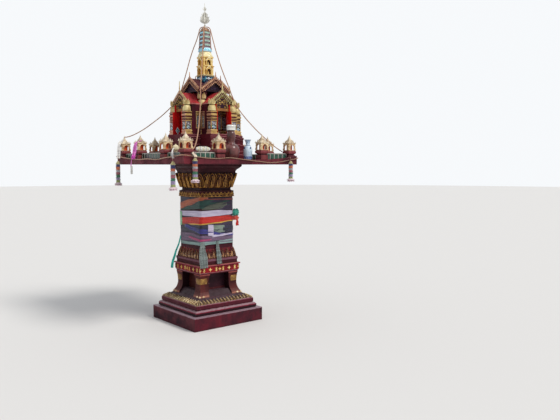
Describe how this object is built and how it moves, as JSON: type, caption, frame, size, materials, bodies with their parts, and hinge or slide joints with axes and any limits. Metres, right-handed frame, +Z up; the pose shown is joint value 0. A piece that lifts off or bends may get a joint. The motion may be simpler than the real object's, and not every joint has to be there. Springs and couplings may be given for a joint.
{
  "type": "spirit house on a pedestal",
  "caption": "Small cross-shaped shrine with gabled roofs and a spire, on a square tray with lanterns and balustrade, carried by a carved square pedestal wrapped in sashes.",
  "frame": {"origin": "on the ground at the middle of the plinth's underside", "axes": "+Z up, the open entrance side of the tray faces -Y, +X to the right of someone who faces the entrance"},
  "size_m": [1.2405, 1.2405, 2.827],
  "materials": {
    "maroon_paint": "cast concrete painted maroon, worn pale at the edges",
    "dark_paint": "cast concrete painted very dark purple red",
    "aged_gilding": "cast relief with dull pinkish gold paint over maroon",
    "bright_gilding": "cast relief with bright yellow gold paint",
    "mirror_mosaic": "small mirror and coloured glass tiles set in gold paint",
    "red_paint": "cast roof painted bright red",
    "cream_paint": "cast piece painted pale cream gold",
    "green_glaze": "deep green glazed squares",
    "brown_glaze": "brown glazed bottle with a white cap",
    "pale_glaze": "pale blue white and cream glaze",
    "silver_paint": "cast finial painted silver white",
    "sash_cloth": "sheer coloured cloth sashes",
    "garland_flowers": "strung cloth flowers in coloured bands",
    "rope_fibre": "twisted tan rope"
  },
  "bodies": {
    "root": {"plinth_block": "maroon_paint", "plinth_steps": "maroon_paint", "base_leaves": "aged_gilding", "waist_core": "dark_paint", "lion_legs": "maroon_paint", "cornice_band": "maroon_paint", "crown_core": "maroon_paint", "crown_leaves": "aged_gilding", "shaft": "maroon_paint", "sashes": "sash_cloth", "zigzag_band": "aged_gilding", "capital_core": "dark_paint", "lotus_petals": "aged_gilding", "tray_floor": "maroon_paint", "tray_rim": "maroon_paint", "rim_rope": "rope_fibre", "lantern_posts": "maroon_paint", "lantern_pavilions": "cream_paint", "lantern_roofs": "cream_paint", "balustrade_frames": "cream_paint", "glazed_squares": "green_glaze", "garlands": "garland_flowers", "gourd_bottle": "brown_glaze", "blue_vase": "pale_glaze", "cream_jar": "pale_glaze", "laid_garland": "garland_flowers", "chapel_base": "dark_paint", "porch_walls": "dark_paint", "porch_columns": "mirror_mosaic", "column_capitals": "bright_gilding", "body_pillars": "mirror_mosaic", "porch_beams": "bright_gilding", "tympana": "aged_gilding", "upper_body": "dark_paint", "lower_roofs": "red_paint", "gable_boards": "aged_gilding", "upper_roof": "red_paint", "spire_drum": "mirror_mosaic", "spire_tiers": "bright_gilding", "spire_stack": "mirror_mosaic", "finial": "silver_paint", "stay_front": "rope_fibre", "stay_right": "rope_fibre", "stay_back": "rope_fibre", "stay_left": "rope_fibre"}
  },
  "joints": []
}
